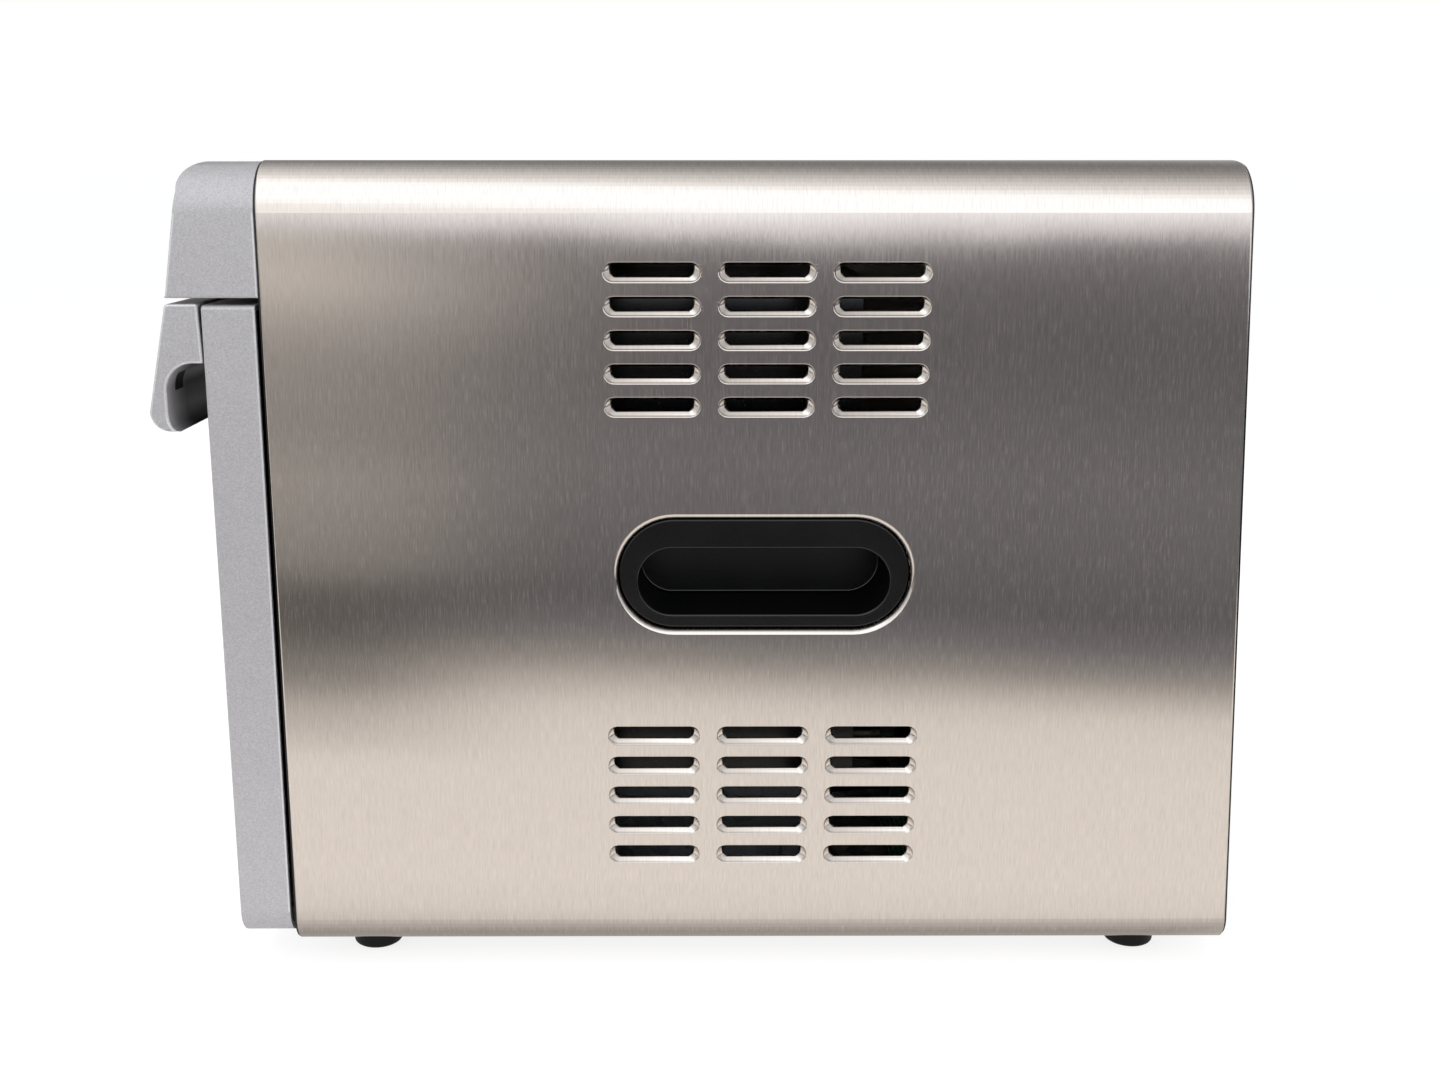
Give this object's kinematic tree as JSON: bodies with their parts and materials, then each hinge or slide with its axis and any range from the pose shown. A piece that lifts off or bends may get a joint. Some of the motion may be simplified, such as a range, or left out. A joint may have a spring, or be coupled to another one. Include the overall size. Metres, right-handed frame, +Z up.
{
  "type": "bread machine",
  "caption": "Front-loading bread machine: brushed steel casing with side vents and finger pockets, drop-down windowed door with a full-width handle, sloped control fascia.",
  "frame": {"origin": "on the surface it stands on, under the middle of the whole box", "axes": "+Z up, -Y towards the door, +X to the right as seen from the front"},
  "size_m": [0.38, 0.4586, 0.3493],
  "materials": {
    "brushed_stainless": "vertical brushed sheet",
    "galvanised_steel": "plated sheet",
    "silver_paint": "metallic silver paint on moulded plastic",
    "black_plastic": "moulded, fine texture",
    "grey_plastic": "moulded, fine texture",
    "bright_button": "satin moulded",
    "foot_rubber": "moulded rubber",
    "seal_rubber": "silicone extrusion",
    "belt_rubber": "ribbed belt",
    "dark_glass": "tinted toughened glass",
    "display_lens": "clear window over a grey-green display",
    "circuit_board": "green laminate",
    "chamber_sheet": "satin aluminised sheet",
    "heater_sheath": "oxidised tube",
    "pan_coating": "dark non-stick coating",
    "bright_steel": "turned and plated",
    "sintered_bronze": "oil-filled bush",
    "cast_zinc": "die-cast",
    "motor_steel": "black enamel"
  },
  "bodies": {
    "root": {"casing": "brushed_stainless", "base_plate": "galvanised_steel", "feet": "foot_rubber", "front_frame": "black_plastic", "strike_plate": "galvanised_steel", "rear_panel": "black_plastic", "rear_screws": "bright_steel", "appliance_inlet": "black_plastic", "fascia": "silver_paint", "display_lens": "display_lens", "control_board": "circuit_board", "power_board": "circuit_board", "chamber": "chamber_sheet", "chamber_rails": "galvanised_steel", "heating_element": "heater_sheath", "heater_clips": "galvanised_steel", "temperature_sensor": "bright_steel", "pan_seat": "chamber_sheet", "bearing_housing": "cast_zinc", "shaft_bush": "sintered_bronze", "motor_bracket": "galvanised_steel", "motor": "motor_steel", "drive_belt": "belt_rubber", "carry_insert_left": "black_plastic", "hinge_bracket_left": "galvanised_steel", "carry_insert_right": "black_plastic", "hinge_bracket_right": "galvanised_steel"},
    "door": {"door_shell": "silver_paint", "door_liner": "chamber_sheet", "door_outer_glass": "dark_glass", "door_inner_glass": "dark_glass", "door_gasket": "seal_rubber", "door_hinge_pins": "bright_steel", "latch_pin": "bright_steel"},
    "handle": {"door_handle": "silver_paint", "handle_pins": "bright_steel"},
    "latch": {"latch_hook": "galvanised_steel"},
    "pan": {"bread_pan": "pan_coating", "pan_skirt": "pan_coating", "pan_bush": "sintered_bronze"},
    "bail": {"pan_bail": "bright_steel"},
    "kneader": {"pan_shaft": "bright_steel", "driven_coupling": "cast_zinc", "kneading_paddle": "pan_coating"},
    "drive": {"drive_shaft": "bright_steel", "drive_coupling": "cast_zinc", "drive_pulley": "grey_plastic"},
    "rotor": {"motor_shaft": "bright_steel", "motor_pulley": "cast_zinc"},
    "start_button": {"start_button": "bright_button"},
    "stop_button": {"stop_button": "bright_button"},
    "button_1": {"button_1": "grey_plastic"},
    "button_2": {"button_2": "grey_plastic"},
    "button_3": {"button_3": "grey_plastic"},
    "button_4": {"button_4": "grey_plastic"}
  },
  "joints": [
    {"name": "door_hinge", "type": "hinge", "parent": "root", "child": "door", "pos_m": [0, -0.19032, 0.0203], "axis": [1, 0, 0], "range_deg": [0, 80]},
    {"name": "handle_rock", "type": "hinge", "parent": "door", "child": "handle", "pos_m": [0, -0.21172, 0.2758], "axis": [-1, 0, 0], "range_deg": [0, 3], "stiffness_Nm_per_rad": 8, "springref_deg": -1.72},
    {"name": "latch_turn", "type": "hinge", "parent": "door", "child": "latch", "pos_m": [0, -0.19492, 0.2783], "axis": [-1, 0, 0], "range_deg": [0, 6.5]},
    {"name": "pan_lift", "type": "slide", "parent": "root", "child": "pan", "axis": [0, 0, 1], "range_m": [0, 0.022]},
    {"name": "bail_swing", "type": "hinge", "parent": "pan", "child": "bail", "pos_m": [0, -0.05633, 0.1965], "axis": [-1, 0, 0], "range_deg": [0, 180]},
    {"name": "paddle_spin", "type": "hinge", "parent": "pan", "child": "kneader", "pos_m": [0, -0.05633, 0.0755], "axis": [0, 0, 1], "continuous": true},
    {"name": "drive_spin", "type": "hinge", "parent": "root", "child": "drive", "pos_m": [0, -0.05633, 0.018], "axis": [0, 0, 1], "continuous": true},
    {"name": "motor_spin", "type": "hinge", "parent": "root", "child": "rotor", "pos_m": [0, 0.13667, 0.018], "axis": [0, 0, 1], "continuous": true},
    {"name": "button_1_press", "type": "slide", "parent": "root", "child": "button_1", "axis": [0, 0.9869, -0.1614], "range_m": [0, 0.001], "stiffness_N_per_m": 500, "springref_m": -0.0005},
    {"name": "button_2_press", "type": "slide", "parent": "root", "child": "button_2", "axis": [0, 0.9869, -0.1614], "range_m": [0, 0.001], "stiffness_N_per_m": 500, "springref_m": -0.0005},
    {"name": "button_3_press", "type": "slide", "parent": "root", "child": "button_3", "axis": [0, 0.9869, -0.1614], "range_m": [0, 0.001], "stiffness_N_per_m": 500, "springref_m": -0.0005},
    {"name": "button_4_press", "type": "slide", "parent": "root", "child": "button_4", "axis": [0, 0.9869, -0.1614], "range_m": [0, 0.001], "stiffness_N_per_m": 500, "springref_m": -0.0005},
    {"name": "start_button_press", "type": "slide", "parent": "root", "child": "start_button", "axis": [0, 0.9869, -0.1614], "range_m": [0, 0.001], "stiffness_N_per_m": 500, "springref_m": -0.0005},
    {"name": "stop_button_press", "type": "slide", "parent": "root", "child": "stop_button", "axis": [0, 0.9869, -0.1614], "range_m": [0, 0.001], "stiffness_N_per_m": 500, "springref_m": -0.0005}
  ],
  "couplings": [
    {"joint": "latch_turn", "follows": "handle_rock", "ratio": 2},
    {"joint": "motor_spin", "follows": "drive_spin", "ratio": 4.7273},
    {"joint": "paddle_spin", "follows": "drive_spin", "ratio": 1}
  ]
}
